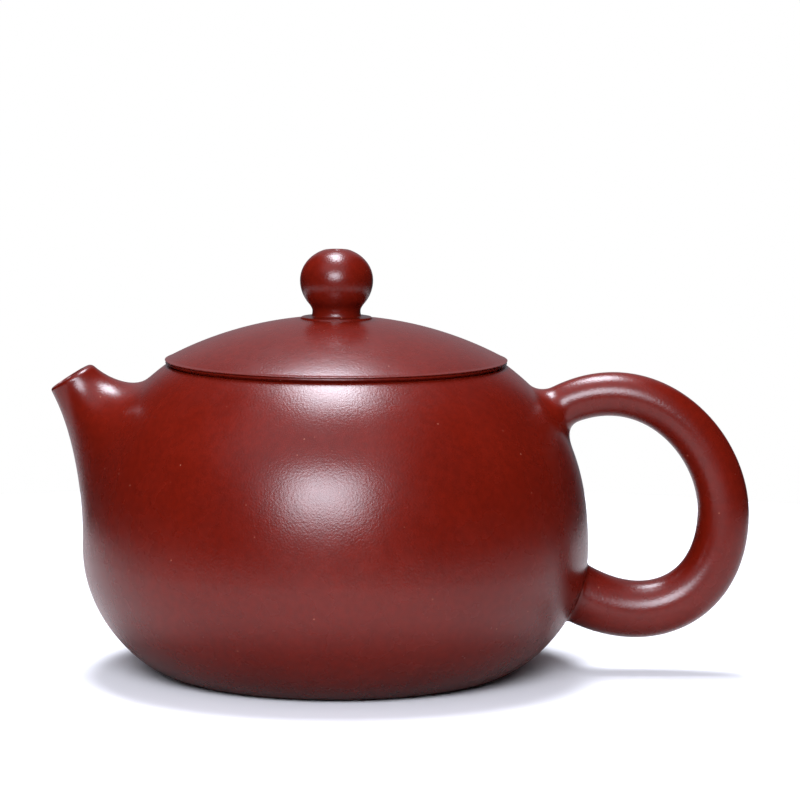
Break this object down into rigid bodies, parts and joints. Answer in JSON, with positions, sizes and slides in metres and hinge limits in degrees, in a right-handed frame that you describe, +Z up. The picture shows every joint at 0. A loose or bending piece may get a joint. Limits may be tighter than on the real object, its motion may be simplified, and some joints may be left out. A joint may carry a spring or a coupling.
{
  "type": "clay teapot",
  "caption": "Round-bellied red clay teapot with a short spout, a looped handle and a domed lift-off lid with a ball knob.",
  "frame": {"origin": "middle of the foot, on the body's axis, on the surface that the pot stands on", "axes": "+Z up along the body's axis; +X towards the handle, so the spout points along -X; the pot is symmetric about the y = 0 plane"},
  "size_m": [0.141, 0.1022, 0.0857],
  "materials": {
    "clay": "satin, unglazed and burnished",
    "clay_raw": "matt, unglazed"
  },
  "bodies": {
    "pot": {"base_disc": "clay", "body_wall": "clay", "mouth_ring": "clay", "spout": "clay", "spout_strainer": "clay_raw", "handle": "clay"},
    "lid": {"lid_dome": "clay", "lid_seat_ring": "clay", "lid_flange": "clay", "knob_collar": "clay", "knob": "clay"}
  },
  "joints": [
    {"name": "lid_lift", "type": "slide", "parent": "pot", "child": "lid", "axis": [0, 0, 1], "range_m": [0, 0.05]}
  ]
}
